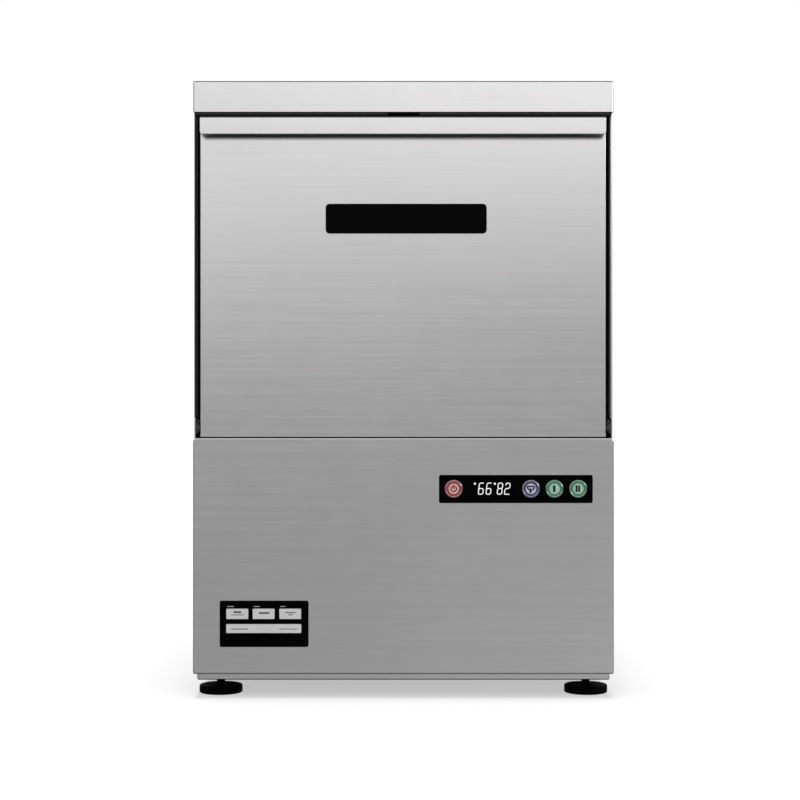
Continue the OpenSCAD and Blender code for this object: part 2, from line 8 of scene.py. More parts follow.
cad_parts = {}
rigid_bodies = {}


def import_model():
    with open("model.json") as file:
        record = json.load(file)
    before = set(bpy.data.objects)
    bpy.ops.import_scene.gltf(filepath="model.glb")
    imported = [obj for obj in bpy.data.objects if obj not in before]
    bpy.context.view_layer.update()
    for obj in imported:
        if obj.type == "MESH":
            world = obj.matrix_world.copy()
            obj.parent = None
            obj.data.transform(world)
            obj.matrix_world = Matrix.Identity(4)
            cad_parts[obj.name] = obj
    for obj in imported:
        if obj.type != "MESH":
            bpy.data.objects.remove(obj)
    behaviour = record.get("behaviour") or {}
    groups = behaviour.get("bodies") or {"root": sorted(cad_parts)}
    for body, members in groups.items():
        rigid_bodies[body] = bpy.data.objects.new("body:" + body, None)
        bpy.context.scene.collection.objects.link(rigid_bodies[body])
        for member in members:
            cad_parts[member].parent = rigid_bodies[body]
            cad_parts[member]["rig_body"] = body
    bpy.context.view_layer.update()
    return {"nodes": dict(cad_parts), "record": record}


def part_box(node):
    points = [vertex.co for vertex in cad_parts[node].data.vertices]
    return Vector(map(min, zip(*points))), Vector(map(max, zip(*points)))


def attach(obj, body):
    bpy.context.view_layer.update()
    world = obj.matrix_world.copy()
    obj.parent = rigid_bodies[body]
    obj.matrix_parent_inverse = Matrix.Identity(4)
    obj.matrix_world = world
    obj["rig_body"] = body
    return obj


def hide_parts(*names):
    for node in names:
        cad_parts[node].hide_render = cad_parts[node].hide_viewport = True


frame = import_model()
NODES = frame["nodes"]
SLOT = {s["node"]: s["material_slot"] for s in frame["record"]["subparts"]}
MM = 0.001


# ---------------------------------------------------------------- materials
class Mat:
    """A Principled material with a few node helpers. Constants sit on the shader's own sockets."""

    def __init__(self, name, **sockets):
        self.m = bpy.data.materials.new(name)
        self.m.use_nodes = True
        self.nt = self.m.node_tree
        self.b = self.nt.nodes["Principled BSDF"]
        self.tc = None
        for k, v in sockets.items():
            self.b.inputs[k.replace("_", " ")].default_value = v

    def new(self, kind, **props):
        n = self.nt.nodes.new(kind)
        for k, v in props.items():
            setattr(n, k, v)
        return n

    def link(self, a, b):
        self.nt.links.new(a, b)

    def coord(self, which="Object"):
        if self.tc is None:
            self.tc = self.new("ShaderNodeTexCoord")
        return self.tc.outputs[which]

    def math(self, op, a, b=None, c=None, clamp=False):
        n = self.new("ShaderNodeMath", operation=op)
        n.use_clamp = clamp
        for i, v in enumerate((a, b, c)):
            if v is None:
                continue
            if isinstance(v, (int, float)):
                n.inputs[i].default_value = v
            else:
                self.link(v, n.inputs[i])
        return n.outputs[0]

    def scaled(self, s, vec=None):
        n = self.new("ShaderNodeMapping")
        n.inputs["Scale"].default_value = (s, s, s) if isinstance(s, (int, float)) else s
        self.link(vec if vec is not None else self.coord(), n.inputs["Vector"])
        return n.outputs["Vector"]

    def noise(self, vec, detail=3.0, rough=0.55, dist=0.0, scale=1.0):
        n = self.new("ShaderNodeTexNoise")
        n.inputs["Scale"].default_value = scale
        n.inputs["Detail"].default_value = detail
        n.inputs["Roughness"].default_value = rough
        n.inputs["Distortion"].default_value = dist
        self.link(vec, n.inputs["Vector"])
        return n.outputs["Fac"]

    def ramp(self, fac, stops, mode="LINEAR"):
        n = self.new("ShaderNodeValToRGB")
        n.color_ramp.interpolation = mode
        e = n.color_ramp.elements
        while len(e) < len(stops):
            e.new(0.5)
        for el, (p, c) in zip(e, stops):
            el.position = p
            el.color = (c, c, c, 1) if isinstance(c, (int, float)) else (*c, 1)
        self.link(fac, n.inputs["Fac"])
        return n.outputs["Color"]

    def mix(self, fac, a, b, blend="MIX"):
        n = self.new("ShaderNodeMix", data_type="RGBA", blend_type=blend)
        for sock, v in ((n.inputs[0], fac), (n.inputs[6], a), (n.inputs[7], b)):
            if isinstance(v, (int, float)):
                sock.default_value = v
            elif isinstance(v, tuple):
                sock.default_value = (*v, 1)
            else:
                self.link(v, sock)
        return n.outputs[2]

    def bump(self, height, strength, distance, normal=None):
        n = self.new("ShaderNodeBump")
        n.inputs["Strength"].default_value = strength
        n.inputs["Distance"].default_value = distance
        self.link(height, n.inputs["Height"])
        if normal is not None:
            self.link(normal, n.inputs["Normal"])
        return n.outputs["Normal"]

    def set(self, socket, value):
        self.link(value, self.b.inputs[socket])
        return self


def tint(c, k):
    return tuple(min(1.0, x * k) for x in c)


def grain_vector(m, lo, hi):
    """Object coordinates stretched along X, or along Y on faces that look sideways."""
    nrm = m.new("ShaderNodeSeparateXYZ")
    m.link(m.coord("Normal"), nrm.inputs[0])
    side = m.math("GREATER_THAN", m.math("ABSOLUTE", nrm.outputs[0]), 0.72)
    p = m.new("ShaderNodeSeparateXYZ")
    m.link(m.coord(), p.inputs[0])
    sx = m.math("MULTIPLY_ADD", side, hi - lo, lo)
    sy = m.math("MULTIPLY_ADD", side, lo - hi, hi)
    c = m.new("ShaderNodeCombineXYZ")
    m.link(m.math("MULTIPLY", p.outputs[0], sx), c.inputs[0])
    m.link(m.math("MULTIPLY", p.outputs[1], sy), c.inputs[1])
    m.link(m.math("MULTIPLY", p.outputs[2], hi), c.inputs[2])
    return c.outputs[0]


# painted light and shade: the sheet's tone lighter towards one side and darker towards the other, by height: (height
# in metres, share at x = 0.2 m)
SIDE_SHADE = [(0.02, 0.055), (0.05, 0.055), (0.12, 0.034), (0.155, 0.025), (0.20, 0.004), (0.26, -0.018), (0.285, -0.025),
         (0.31, -0.036), (0.344, -0.052), (0.378, -0.062), (0.425, -0.075), (0.478, -0.061), (0.557, -0.041),
         (0.60, -0.02), (0.62, -0.004), (0.64, 0.006), (0.66, 0.029), (0.69, 0.029)]


# painted light and shade: the colour scaled from left to right by the table's share at each height
def side_shade(m):
    p = m.new("ShaderNodeSeparateXYZ")
    m.link(m.coord(), p.inputs[0])
    k = m.ramp(m.math("DIVIDE", p.outputs[2], 0.7), [(z / 0.7, (v + 0.1) / 0.2) for z, v in SIDE_SHADE])
    k = m.math("MULTIPLY_ADD", k, 0.2, -0.1)
    return m.math("MULTIPLY_ADD", m.math("MULTIPLY", p.outputs[0], 5.0), k, 1.0)


# painted shade: dark lines where a folded edge turns under: (height in metres, brightness)
HEM_SHADE = [(0.0190, 0.05), (0.0206, 0.05), (0.0210, 1.0), (0.0268, 1.0), (0.0271, 0.36), (0.0281, 0.36), (0.0286, 1.0)]
# soft painted shadow on the door under its lip
UNDER_LIP_SHADE = [(0.6150, 1.0), (0.6222, 1.0), (0.6240, 0.62), (0.6252, 0.30), (0.6268, 0.22), (0.6280, 0.22), (0.6282, 1.0)]


# painted shade at the hem lines and painted shadow under the lip, as one colour factor
def hem_and_lip_shade(m):
    p = m.new("ShaderNodeSeparateXYZ")
    m.link(m.coord(), p.inputs[0])
    low_shade = m.ramp(m.math("MULTIPLY", p.outputs[2], 20.0, clamp=True), [(z * 20.0, v) for z, v in HEM_SHADE])
    lip = m.ramp(m.math("MULTIPLY_ADD", p.outputs[2], 50.0, -0.615 * 50.0, clamp=True), [((z - 0.615) * 50.0, v) for z, v in UNDER_LIP_SHADE])
    ends = m.math("MULTIPLY", m.math("SUBTRACT", m.math("ABSOLUTE", p.outputs[0]), 0.2194), 238.0, clamp=True)
    return m.mix(1.0, low_shade, m.mix(ends, lip, (1.0, 1.0, 1.0)), "MULTIPLY")


def fold_shade(m, k=0.27):
    """Painted shade: colour darkened on the outer bends, where the normal turns between front and side."""
    n = m.new("ShaderNodeSeparateXYZ")
    m.link(m.coord("Normal"), n.inputs[0])
    bend_shade = m.ramp(m.math("ABSOLUTE", n.outputs[1]), [(0.08, 1.0), (0.20, k), (0.82, k), (0.94, 1.0)])
    p = m.new("ShaderNodeSeparateXYZ")
    m.link(m.coord(), p.inputs[0])
    away = m.math("ABSOLUTE", m.math("SUBTRACT", p.outputs[2], 0.2911))
    away = m.math("MULTIPLY", m.math("SUBTRACT", away, 0.004), 1000.0, clamp=True)
    return m.mix(away, (1.0, 1.0, 1.0), bend_shade)


def brushed(name, base, rough=0.30, streak=0.06, blotch=0.05, bump=0.06, smudge=0.10, rspread=0.10, painted_shade=False):
    m = Mat(name, Metallic=1.0, IOR=1.5)
    coarse = m.noise(grain_vector(m, 3.0, 330.0), 3.0, 0.6)
    fine = m.noise(grain_vector(m, 14.0, 1500.0), 2.0, 0.6)
    cloud = m.noise(m.scaled(5.5), 3.0, 0.55, 0.6)
    film = m.noise(m.scaled(23.0), 4.0, 0.62, 1.2)
    both = m.math("ADD", m.math("MULTIPLY", coarse, 0.55), m.math("MULTIPLY", fine, 0.45))
    grained = m.ramp(both, [(0.30, tint(base, 1 - streak)), (0.70, tint(base, 1 + streak))])
    clouded = m.ramp(cloud, [(0.3, 1 - blotch), (0.7, 1.0)])
    color = m.mix(1.0, grained, clouded, "MULTIPLY")
    # painted light and shade on the front sheets: tone from side to side, dark hem lines, the shadow under the lip
    # and darker bends
    if painted_shade:
        color = m.mix(1.0, color, side_shade(m), "MULTIPLY")
        color = m.mix(1.0, color, hem_and_lip_shade(m), "MULTIPLY")
        color = m.mix(1.0, color, fold_shade(m), "MULTIPLY")
    m.set("Base Color", color)
    r = m.math("MULTIPLY_ADD", m.math("SUBTRACT", both, 0.5), rspread, rough)
    r = m.math("MULTIPLY_ADD", m.math("SUBTRACT", film, 0.5), smudge, r, clamp=True)
    m.set("Roughness", r)
    m.set("Normal", m.bump(both, bump, 0.00022))
    return m.m


def plastic(name, base, rough=0.45, grit=0.12, coat=0.0, coat_rough=0.1, grain=1900.0, var=0.14, spec=0.5, dust=0.0):
    m = Mat(name, IOR=1.49, Coat_Weight=coat, Coat_Roughness=coat_rough, Specular_IOR_Level=spec)
    fine = m.noise(m.scaled(grain), 2.0, 0.6)
    cloud = m.noise(m.scaled(38.0), 4.0, 0.6, 0.5)
    col = m.ramp(cloud, [(0.28, tint(base, 1 - var)), (0.72, tint(base, 1 + var))])
    if dust:
        settled = m.ramp(m.noise(m.scaled(310.0), 5.0, 0.72), [(0.52, 0.0), (0.80, dust)])
        col = m.mix(settled, col, (0.30, 0.29, 0.27))
    m.set("Base Color", col)
    m.set("Roughness", m.math("MULTIPLY_ADD", m.math("SUBTRACT", cloud, 0.5), 0.16, rough, clamp=True))
    m.set("Normal", m.bump(fine, grit, 0.00012))
    return m.m


def cast(name, base, rough=0.55, metallic=0.0):
    m = Mat(name, Metallic=metallic, IOR=1.5)
    lump = m.noise(m.scaled(420.0), 4.0, 0.62)
    cloud = m.noise(m.scaled(30.0), 3.0, 0.6)
    m.set("Base Color", m.ramp(cloud, [(0.3, tint(base, 0.82)), (0.7, tint(base, 1.18))]))
    m.set("Roughness", m.math("MULTIPLY_ADD", m.math("SUBTRACT", lump, 0.5), 0.25, rough, clamp=True))
    m.set("Normal", m.bump(lump, 0.30, 0.0005))
    return m.m


def plated(name, base, rough=0.28):
    m = Mat(name, Metallic=1.0)
    cloud = m.noise(m.scaled(160.0), 4.0, 0.6, 0.8)
    fine = m.noise(m.scaled(1700.0), 2.0)
    m.set("Base Color", m.ramp(cloud, [(0.3, tint(base, 0.88)), (0.7, tuple(x * y for x, y in zip(base, (1.04, 1.03, 0.99))))]))
    m.set("Roughness", m.math("MULTIPLY_ADD", m.math("SUBTRACT", cloud, 0.5), 0.22, rough, clamp=True))
    m.set("Normal", m.bump(fine, 0.08, 0.0001))
    return m.m


def rubber(name, base, rough=0.62):
    m = Mat(name, IOR=1.5, Specular_IOR_Level=0.4)
    cloud = m.noise(m.scaled(60.0), 4.0, 0.65)
    fine = m.noise(m.scaled(1400.0), 3.0, 0.6)
    bloom = m.ramp(cloud, [(0.35, base), (0.75, tint(base, 1.7))])
    m.set("Base Color", bloom)
    m.set("Roughness", m.math("MULTIPLY_ADD", m.math("SUBTRACT", fine, 0.5), 0.20, rough, clamp=True))
    m.set("Normal", m.bump(fine, 0.16, 0.00015))
    return m.m


def board(name, base):
    m = Mat(name, IOR=1.5, Coat_Weight=0.4, Coat_Roughness=0.2)
    v = m.new("ShaderNodeTexVoronoi", feature="DISTANCE_TO_EDGE")
    v.inputs["Scale"].default_value = 1.0
    m.link(m.scaled((420.0, 420.0, 420.0)), v.inputs["Vector"])
    tracks = m.ramp(v.outputs["Distance"], [(0.04, 1.0), (0.10, 0.0)])
    m.set("Base Color", m.mix(tracks, tint(base, 0.8), tint(base, 1.6)))
    m.set("Roughness", m.math("MULTIPLY_ADD", v.outputs["Distance"], 0.2, 0.35, clamp=True))
    m.set("Normal", m.bump(v.outputs["Distance"], 0.1, 0.0001))
    return m.m


def glow(name, color, strength):
    m = Mat(name, Emission_Strength=strength, Roughness=0.4, Specular_IOR_Level=0.1)
    cell = m.noise(m.scaled(900.0), 2.0)
    m.set("Base Color", m.ramp(cell, [(0.3, tint(color, 0.02)), (0.7, tint(color, 0.03))]))
    m.set("Emission Color", m.ramp(cell, [(0.3, tint(color, 0.9)), (0.7, color)]))
    return m.m


M = {
    "outer_steel": brushed("outer_steel", (0.620, 0.610, 0.614), 0.24, streak=0.035, blotch=0.03, bump=0.05, smudge=0.04, rspread=0.06),
    "inner_steel": brushed("inner_steel", (0.66, 0.66, 0.65), 0.24, streak=0.03, blotch=0.05, bump=0.04, smudge=0.12),
    "hardware": plated("hardware", (0.74, 0.74, 0.72)),
    "bracket_steel": cast("bracket_steel", (0.020, 0.020, 0.021), 0.40),
    "black_plastic": plastic("black_plastic", (0.0010, 0.0010, 0.0012), 0.5, spec=0.018, dust=0.004),
    "badge_black": plastic("badge_black", (0.0009, 0.0009, 0.0010), 0.38, grit=0.03, spec=0.025),
    "fascia_black": plastic("fascia_black", (0.0006, 0.0006, 0.0007), 0.36, grit=0.03, spec=0.018),
    "window_dark": plastic("window_dark", (0.0005, 0.0005, 0.0007), 0.30, grit=0.01, spec=0.018),
    "seal_rubber": rubber("seal_rubber", (0.007, 0.007, 0.007)),
    "hose_rubber": rubber("hose_rubber", (0.022, 0.022, 0.022)),
    "bezel_tint": plastic("bezel_tint", (0.35, 0.16, 0.18), 0.16, grit=0.01, coat=0.8, coat_rough=0.06),
    "cap_red": plastic("cap_red", (0.42, 0.075, 0.085), 0.22, grit=0.01, coat=0.6, coat_rough=0.1, var=0.08),
    "cap_blue": plastic("cap_blue", (0.085, 0.085, 0.24), 0.22, grit=0.01, coat=0.6, coat_rough=0.1, var=0.08),
    "cap_green": plastic("cap_green", (0.055, 0.27, 0.15), 0.22, grit=0.01, coat=0.6, coat_rough=0.1, var=0.08),
    "board_green": board("board_green", (0.04, 0.18, 0.07)),
    "moulding_grey": plastic("moulding_grey", (0.06, 0.065, 0.07), 0.42, grain=1200.0),
    "pump_black": plastic("pump_black", (0.035, 0.037, 0.040), 0.42, grain=1200.0),
    "motor_grey": cast("motor_grey", (0.09, 0.095, 0.105), 0.5),
    "rotor_white": plastic("rotor_white", (0.72, 0.72, 0.70), 0.4, var=0.05),
    "boiler_steel": brushed("boiler_steel", (0.52, 0.51, 0.48), 0.42, streak=0.08, blotch=0.2),
    "element_alloy": brushed("element_alloy", (0.42, 0.40, 0.38), 0.45, streak=0.05, blotch=0.25),
    "valve_blue": plastic("valve_blue", (0.05, 0.15, 0.32), 0.4),
    "drain_green": plastic("drain_green", (0.07, 0.16, 0.09), 0.42),
    "terminal_cream": plastic("terminal_cream", (0.70, 0.66, 0.54), 0.45, var=0.06),
    "rack_blue": plastic("rack_blue", (0.07, 0.19, 0.36), 0.38, grain=1300.0, var=0.10),
}


def gloss(name, base, rough=0.2, spec=0.3, coat=0.0, var=0.08):
    return plastic(name, base, rough, grit=0.01, coat=coat, coat_rough=0.08, var=var, spec=spec)


BEZEL = {
    "power": plated("bezel_red", (0.510, 0.247, 0.258), 0.17),
    "drain": plated("bezel_blue", (0.290, 0.290, 0.400), 0.17),
    "cycle": plated("bezel_green", (0.235, 0.425, 0.320), 0.17),
}
RING = {
    "power": gloss("ring_red", (0.230, 0.028, 0.042), 0.3, 0.15),
    "drain": gloss("ring_blue", (0.020, 0.018, 0.092), 0.3, 0.15),
    "cycle": gloss("ring_green", (0.030, 0.190, 0.098), 0.3, 0.15),
}
PALE = {
    "power": gloss("lens_red", (0.570, 0.285, 0.283), 0.3, 0.25, var=0.05),
    "drain": gloss("lens_blue", (0.390, 0.390, 0.505), 0.3, 0.25, var=0.05),
    "cycle": gloss("lens_green", (0.285, 0.400, 0.325), 0.3, 0.25, var=0.05),
}
HINGE = plated("hinge_block", (0.11, 0.11, 0.11), 0.4)
INK_DARK = plastic("symbol_dark", (0.004, 0.003, 0.003), 0.4, grit=0.02, spec=0.15)
INK_RED = plastic("symbol_red", (0.085, 0.012, 0.016), 0.4, grit=0.02, spec=0.15)
DIGITS = glow("display_digits", (1.0, 1.0, 1.0), 1.0)
FIELD = plastic("label_field", (0.455, 0.455, 0.455), 0.5, grit=0.03, var=0.05, spec=0.2)
FRONT = brushed("front_steel_painted_shade", (0.620, 0.610, 0.614), 0.24, streak=0.035, blotch=0.03, bump=0.05, smudge=0.04, rspread=0.06, painted_shade=True)


# ---------------------------------------------------------------- mesh helpers
def rr(u0, u1, v0, v1, r, n=6):
    """Points round a rectangle with round corners, from the low corner, anticlockwise."""
    r = [r] * 4 if isinstance(r, (int, float)) else list(r)
    pts = []
    for cu, cv, a0, q in (
        (u0 + r[0], v0 + r[0], 180, r[0]),
        (u1 - r[1], v0 + r[1], 270, r[1]),
        (u1 - r[2], v1 - r[2], 0, r[2]),
        (u0 + r[3], v1 - r[3], 90, r[3]),
    ):
        for k in range(n + 1):
            a = math.radians(a0 + 90 * k / n)
            pts.append((cu + q * math.cos(a), cv + q * math.sin(a)))
    return pts


class Piece:
    """Collects parts of one visual piece in millimetres, then makes the object."""

    def __init__(self, name):
        self.name = name
        self.bm = bmesh.new()
        self.mats = []

    def _mi(self, mat):
        if mat not in self.mats:
            self.mats.append(mat)
        return self.mats.index(mat)

    def _take(self, bm, mat, recalc=True):
        bmesh.ops.remove_doubles(bm, verts=bm.verts, dist=1e-5)
        if recalc:
            bmesh.ops.recalc_face_normals(bm, faces=bm.faces)
        mi = self._mi(mat)
        for f in bm.faces:
            f.material_index = mi
            f.smooth = True
        me = bpy.data.meshes.new("part")
        bm.to_mesh(me)
        bm.free()
        self.bm.from_mesh(me)
        bpy.data.meshes.remove(me)

    def loft(self, loops, mat, caps=(True, True), closed=True):
        bm = bmesh.new()
        rows = [[bm.verts.new(p) for p in loop] for loop in loops]
        n = len(rows[0])
        for a, b in zip(rows, rows[1:]):
            for i in range(n if closed else n - 1):
                j = (i + 1) % n
                bm.faces.new((a[i], a[j], b[j], b[i]))
        if caps[0]:
            bm.faces.new(rows[0])
        if caps[1]:
            bm.faces.new(rows[-1])
        self._take(bm, mat)
        return self

    def box(self, lo, hi, mat, b=0.4, seg=2):
        bm = bmesh.new()
        bmesh.ops.create_cube(bm, size=1.0)
        c = [(x + y) / 2 for x, y in zip(lo, hi)]
        s = [y - x for x, y in zip(lo, hi)]
        for v in bm.verts:
            v.co = Vector([c[i] + v.co[i] * s[i] for i in range(3)])
        b = min(b, min(s) * 0.45)
        if b > 0:
            bmesh.ops.bevel(bm, geom=list(bm.edges), offset=b, segments=seg, profile=0.5, affect="EDGES")
        self._take(bm, mat)
        return self

    def lathe(self, profile, center, mat, axis="z", seg=64):
        """profile: (radius, height) pairs; heights run along the axis from center."""
        loops = []
        for r, h in profile:
            loop = []
            for k in range(seg):
                a = 2 * math.pi * k / seg
                c, s = max(r, 1e-4) * math.cos(a), max(r, 1e-4) * math.sin(a)
                if axis == "z":
                    p = (center[0] + c, center[1] + s, center[2] + h)
                elif axis == "y":
                    p = (center[0] + c, center[1] + h, center[2] + s)
                else:
                    p = (center[0] + h, center[1] + c, center[2] + s)
                loop.append(p)
            loops.append(loop)
        ring = profile[0] == profile[-1]
        return self.loft(loops, mat, (not ring, not ring))

    def stroke(self, pts, half, at, mat, depth=0.12, closed=False, caps=True):
        """A flat printed line through (u, v) points, facing -Y. at = (x, y_front, z)."""
        n = len(pts)
        rows = []

        def nrm(i):
            a = pts[(i - 1) % n] if closed or i > 0 else pts[i]
            b = pts[(i + 1) % n] if closed or i < n - 1 else pts[i]
            ta = Vector((pts[i][0] - a[0], pts[i][1] - a[1]))
            tb = Vector((b[0] - pts[i][0], b[1] - pts[i][1]))
            if ta.length < 1e-9:
                ta = tb
            if tb.length < 1e-9:
                tb = ta
            ta.normalize()
            tb.normalize()
            t = ta + tb
            if t.length < 1e-6:
                t = ta
            t.normalize()
            k = 1.0 / max(0.5, t.dot(ta))
            return Vector((-t[1], t[0])) * k, t

        def row(c, v):
            rows.append(((c[0] + v[0], c[1] + v[1]), (c[0] - v[0], c[1] - v[1])))

        if caps and not closed:
            v, t = nrm(0)
            for a in (80, 55, 28):
                q = math.radians(a)
                row((pts[0][0] - t[0] * half * math.sin(q), pts[0][1] - t[1] * half * math.sin(q)), v * half * math.cos(q))
        for i in range(n):
            v, t = nrm(i)
            row(pts[i], v * half)
        if caps and not closed:
            v, t = nrm(n - 1)
            for a in (28, 55, 80):
                q = math.radians(a)
                row((pts[-1][0] + t[0] * half * math.sin(q), pts[-1][1] + t[1] * half * math.sin(q)), v * half * math.cos(q))
        if closed:
            rows.append(rows[0])
        loops = []
        x, y, z = at
        for a, b in rows:
            loops.append([(x + a[0], y, z + a[1]), (x + b[0], y, z + b[1]), (x + b[0], y + depth, z + b[1]), (x + a[0], y + depth, z + a[1])])
        return self.loft(loops, mat, (not closed, not closed))

    def done(self, body, slot, replaces=(), sharp=32, weighted=True):
        me = bpy.data.meshes.new(self.name)
        bmesh.ops.scale(self.bm, vec=(MM, MM, MM), verts=self.bm.verts)
        self.bm.to_mesh(me)
        self.bm.free()
        for m in self.mats:
            me.materials.append(m)
        me.set_sharp_from_angle(angle=math.radians(sharp))
        o = bpy.data.objects.new(self.name, me)
        bpy.context.scene.collection.objects.link(o)
        if weighted:
            w = o.modifiers.new("weighted", "WEIGHTED_NORMAL")
            w.keep_sharp = True
        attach(o, body)
        if replaces:
            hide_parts(*replaces)
        return o


def pan_loops(P, u0, u1, v0, v1, depth, R, t, rc, n=6, m=6):
    """Loops of a folded sheet pan: face at w = 0, walls back to w = depth, bend radius R, sheet t."""
    rc = [rc] * 4 if isinstance(rc, (int, float)) else rc

    def loop(i, w):
        rad = [max(q - i, 0.15) for q in rc]
        return [P(u, v, w) for u, v in rr(u0 + i, u1 - i, v0 + i, v1 - i, rad, n)]

    out = []
    for k in range(m + 1):
        a = math.pi / 2 * k / m
        out.append(loop(R * (1 - math.sin(a)), R * (1 - math.cos(a))))
    e = 0.3
    out += [loop(0, depth - e), loop(e, depth), loop(t - e, depth), loop(t, depth - e)]
    ri = max(R - t, 0.4)
    for k in range(m, -1, -1):
        a = math.pi / 2 * k / m
        out.append(loop(t + ri * (1 - math.sin(a)), t + ri * (1 - math.cos(a))))
    return out


def plate_loops(P, u0, u1, v0, v1, depth, r, e, n=8, m=4):
    """Loops of a solid plate with its front edge rounded by e. w = 0 is the front."""
    out = []
    for k in range(m + 1):
        a = math.pi / 2 * k / m
        i, w = e * (1 - math.sin(a)), e * (1 - math.cos(a))
        out.append([P(u, v, w) for u, v in rr(u0 + i, u1 - i, v0 + i, v1 - i, max(r - i, 0.1), n)])
    out.append([P(u, v, depth) for u, v in rr(u0, u1, v0, v1, r, n)])
    return out


def mm(node):
    lo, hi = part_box(node)
    return [c / MM for c in lo], [c / MM for c in hi]


def round_path(pts, r, n=5):
    """Polyline with its inner corners rounded."""
    out = [pts[0]]
    for a, p, b in zip(pts, pts[1:], pts[2:]):
        pa, pb = Vector(a) - Vector(p), Vector(b) - Vector(p)
        q = min(r, pa.length * 0.48, pb.length * 0.48)
        s, e = Vector(p) + pa.normalized() * q, Vector(p) + pb.normalized() * q
        for k in range(n + 1):
            t = k / n
            out.append(tuple((1 - t) ** 2 * s + 2 * t * (1 - t) * Vector(p) + t * t * e))
    out.append(pts[-1])
    return out


# ---------------------------------------------------------------- sheet-metal skin
steel = FRONT
lo, hi = mm("top_panel")
LID0, LID1, LIDF, LIDR = lo[2], hi[2], lo[1], hi[1]
lid = Piece("lid")
lid.loft(
    pan_loops(lambda u, v, w: (u, v, LID1 - w), lo[0], hi[0], LIDF, LIDR, LID1 - LID0, 2.2, 1.5, 1.8),
    steel,
)
lid.box((lo[0] + 1.6, LIDF + 1.5, LID0), (hi[0] - 1.6, LIDF + 13.0, LID0 + 1.5), steel, 0.5)
lid.done("cabinet", "outer_steel", ("top_panel",))

lo, hi = mm("lower_front_panel")
F = lo[1]
panel = Piece("lower_panel")
panel.loft(
    pan_loops(lambda u, v, w: (u, F + w, v), lo[0], hi[0], lo[2], hi[2], 13.7, 1.2, 1.0, [2.0, 2.0, 4.0, 4.0]),
    steel,
)
panel.box((-231, F + 1.6, hi[2] - 1.5), (231, F + 24, hi[2]), steel, 0.4)
panel.box((-231, F + 22.5, hi[2] - 15), (231, F + 24, hi[2] - 0.6), steel, 0.4)
panel.done("cabinet", "outer_steel", ("lower_front_panel",))

lo, hi = mm("door_outer_skin")
DX0, DX1, DZ0, DZ1, DF, DB = lo[0], hi[0] - 0.9, lo[2] - 0.46, hi[2], lo[1], hi[1]
skin = Piece("door_skin")
skin.loft(
    pan_loops(lambda u, v, w: (u, DF + w, v), DX0, DX1, DZ0, DZ1, DB - DF, 1.2, 1.0, 1.2),
    steel,
)
skin = skin.done("door", "outer_steel", ("door_outer_skin",))

# folded lip: closed cross-sections, their lower edge curving up into the end of the lip
lo, hi = mm("door_handle")
HX0, HX1, HY0, HY1, HZ0, HZ1 = lo[0], hi[0] - 0.9, lo[1], hi[1], lo[2] - 0.15, hi[2] + 0.35


def lip_section(x, zb, inset=0.0):
    t, R = 1.5, 2.4
    y0, zt = HY0 + inset, HZ1 - inset
    pts = [(HY1, zt)]
    for k in range(7):
        a = math.pi / 2 * k / 6
        pts.append((y0 + R * (1 - math.sin(a)), zt - R * (1 - math.cos(a))))
    zb = zb + inset
    r = 0.5
    for k in range(5):
        a = math.pi / 2 * k / 4
        pts.append((y0 + r * (1 - math.cos(a)), zb + r * (1 - math.sin(a))))
    back = HY0 + 5.0
    pts += [(back - 0.3, zb), (back, zb + 0.3), (back, zb + t - 0.3), (back - 0.3, zb + t - inset)]
    pts += [(HY0 + t, zb + t - inset)]
    ri = R - t
    for k in range(5):
        a = math.pi / 2 * (1 - k / 4)
        pts.append((HY0 + t - inset + ri * (1 - math.sin(a)), HZ1 - t + inset - ri * (1 - math.cos(a))))
    pts.append((HY1, HZ1 - t + inset))
    return [(x, y, z) for y, z in pts]


q = 2.4
stations = []
for k in range(0, 9):
    a = math.pi / 2 * k / 8
    s = q * (1 - math.cos(a))
    stations.append((s, q * (1 - math.sin(a))))
sections = [lip_section(HX0, HZ0 + q, 0.35)]
for s, up in stations:
    x = HX0 + 0.35 + s
    sections.append(lip_section(x, HZ0 + up))
for s, up in reversed(stations):
    x = HX1 - 0.35 - s
    sections.append(lip_section(x, HZ0 + up))
sections.append(lip_section(HX1, HZ0 + q, 0.35))
lip = Piece("door_lip")
lip.loft(sections, steel)
lip.done("door", "outer_steel", ("door_handle",))

# base tray with round bends under the lower panel
lo, hi = mm("base_tray")
tray = Piece("base_tray_skin")
TX0, TX1, TY0, TY1, TZ0, TZ1 = lo[0], hi[0], lo[1], hi[1], lo[2], hi[2]
tray.loft(
    pan_loops(lambda u, v, w: (u, v, TZ0 + w), TX0, TX1, TY0, TY1, TZ1 - TZ0, 2.2, 1.5, 1.6),
    steel,
)
tray = tray.done("cabinet", "outer_steel", ("base_tray",))


def cut(obj, cutters):
    """Cuts closed cutter meshes out of a finished piece, then drops them."""
    for c in cutters:
        m = obj.modifiers.new("cut", "BOOLEAN")
        m.operation = "DIFFERENCE"
        m.solver = "EXACT"
        m.object = c
    dg = bpy.context.evaluated_depsgraph_get()
    me = bpy.data.meshes.new_from_object(obj.evaluated_get(dg))
    old = obj.data
    obj.modifiers.clear()
    obj.data = me
    me.name = obj.name
    me.set_sharp_from_angle(angle=math.radians(32))
    w = obj.modifiers.new("weighted", "WEIGHTED_NORMAL")
    w.keep_sharp = True
    bpy.data.meshes.remove(old)
    for c in cutters:
        m = c.data
        bpy.data.objects.remove(c)
        bpy.data.meshes.remove(m)


